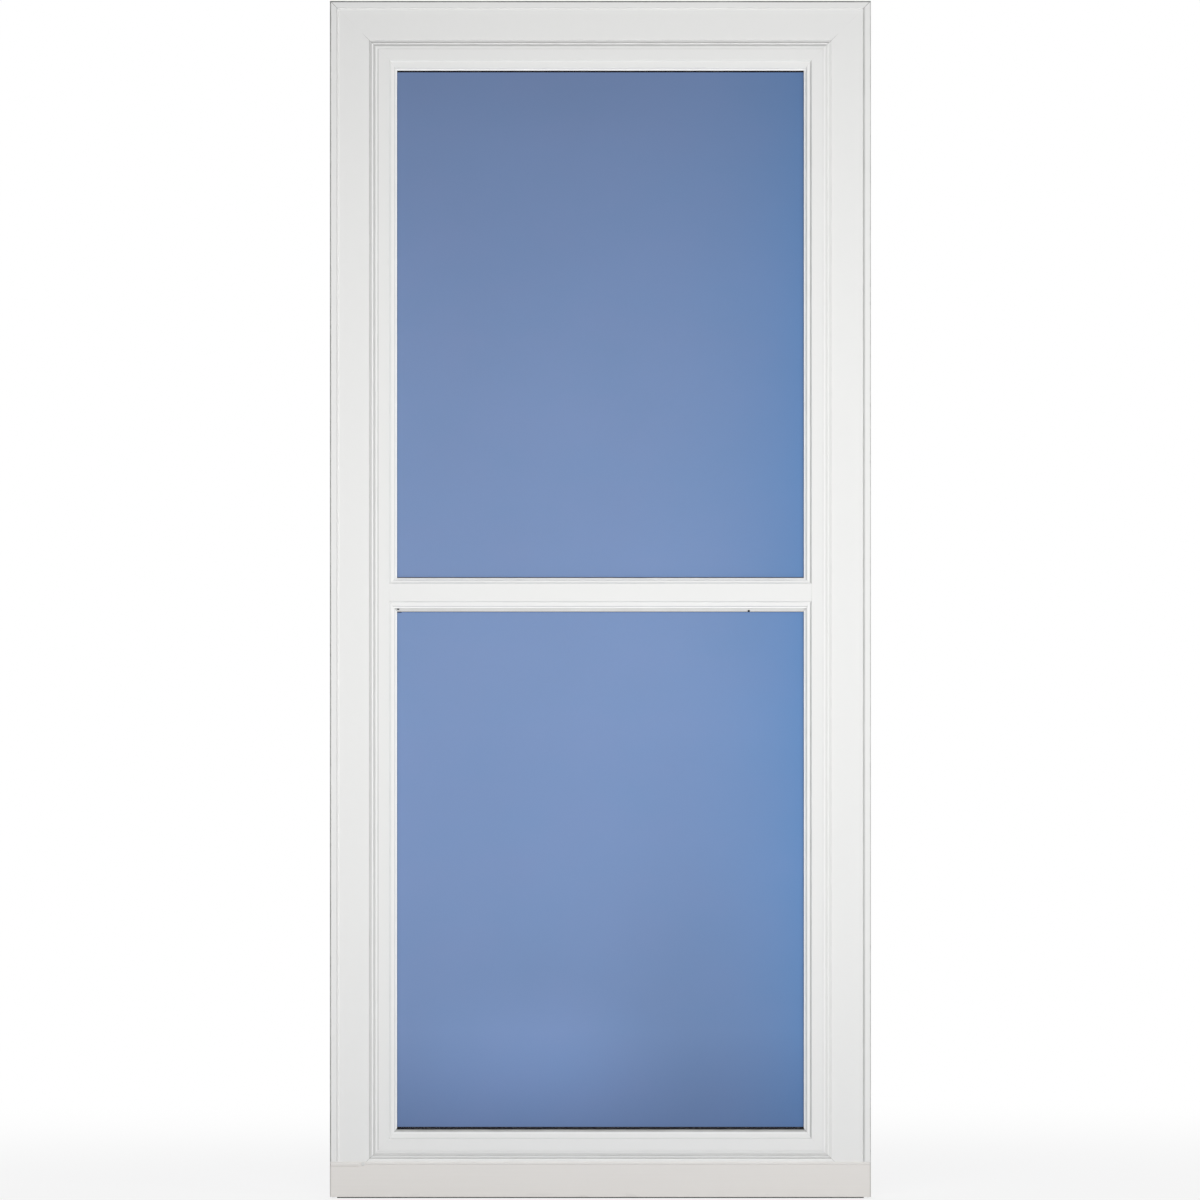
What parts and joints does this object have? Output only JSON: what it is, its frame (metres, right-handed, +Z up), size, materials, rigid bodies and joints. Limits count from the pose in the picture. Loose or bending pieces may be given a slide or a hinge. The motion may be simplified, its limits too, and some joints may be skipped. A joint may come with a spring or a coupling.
{
  "type": "storm door",
  "caption": "White aluminium storm door leaf with an upper and a lower pane and a bottom expander, hinged in a slim frame of angle jambs.",
  "frame": {"origin": "on the outer face of the hinge jamb, at its foot, on the line of its mounting screws", "axes": "+Z up along the jamb, +X out of the hinge jamb's mounting face, -Y out of the doorway, the way the leaf opens"},
  "size_m": [0.92, 0.045, 2.036],
  "materials": {
    "leaf_white": "satin white powder coat",
    "bead_white": "satin white powder coat",
    "retainer_white": "matt white vinyl",
    "glass": "blue reflective glass",
    "expander_white": "satin warm white powder coat",
    "sweep_vinyl": "matt grey vinyl",
    "screw_white": "painted screw head",
    "pile_grey": "grey pile",
    "jamb_white": "satin white powder coat",
    "hinge_steel": "zinc-plated steel"
  },
  "bodies": {
    "frame": {"hinge_jamb": "jamb_white", "latch_jamb": "jamb_white", "head_jamb": "jamb_white", "hinge_weatherstrip": "pile_grey", "latch_weatherstrip": "pile_grey", "head_weatherstrip": "pile_grey", "lower_hinge_frame_plate": "hinge_steel", "middle_hinge_frame_plate": "hinge_steel", "upper_hinge_frame_plate": "hinge_steel", "lower_hinge_pin": "hinge_steel", "middle_hinge_pin": "hinge_steel", "upper_hinge_pin": "hinge_steel"},
    "leaf": {"hinge_stile": "leaf_white", "latch_stile": "leaf_white", "top_rail": "leaf_white", "mid_rail": "leaf_white", "bottom_rail": "leaf_white", "upper_glass": "glass", "lower_glass": "glass", "upper_bead_left": "bead_white", "upper_bead_right": "bead_white", "upper_bead_top": "bead_white", "upper_bead_bottom": "bead_white", "lower_bead_left": "bead_white", "lower_bead_right": "bead_white", "lower_bead_top": "bead_white", "lower_bead_bottom": "bead_white", "upper_retainer_left": "retainer_white", "upper_retainer_right": "retainer_white", "upper_retainer_top": "retainer_white", "upper_retainer_bottom": "retainer_white", "lower_retainer_left": "retainer_white", "lower_retainer_right": "retainer_white", "lower_retainer_top": "retainer_white", "lower_retainer_bottom": "retainer_white", "bottom_expander": "expander_white", "bottom_sweep": "sweep_vinyl", "expander_screw": "screw_white", "lower_hinge_leaf_plate": "hinge_steel", "middle_hinge_leaf_plate": "hinge_steel", "upper_hinge_leaf_plate": "hinge_steel"}
  },
  "joints": [
    {"name": "leaf_swing", "type": "hinge", "parent": "frame", "child": "leaf", "pos_m": [-0.0017, -0.0222, 1.018], "axis": [0, 0, 1], "range_deg": [0, 110]}
  ]
}
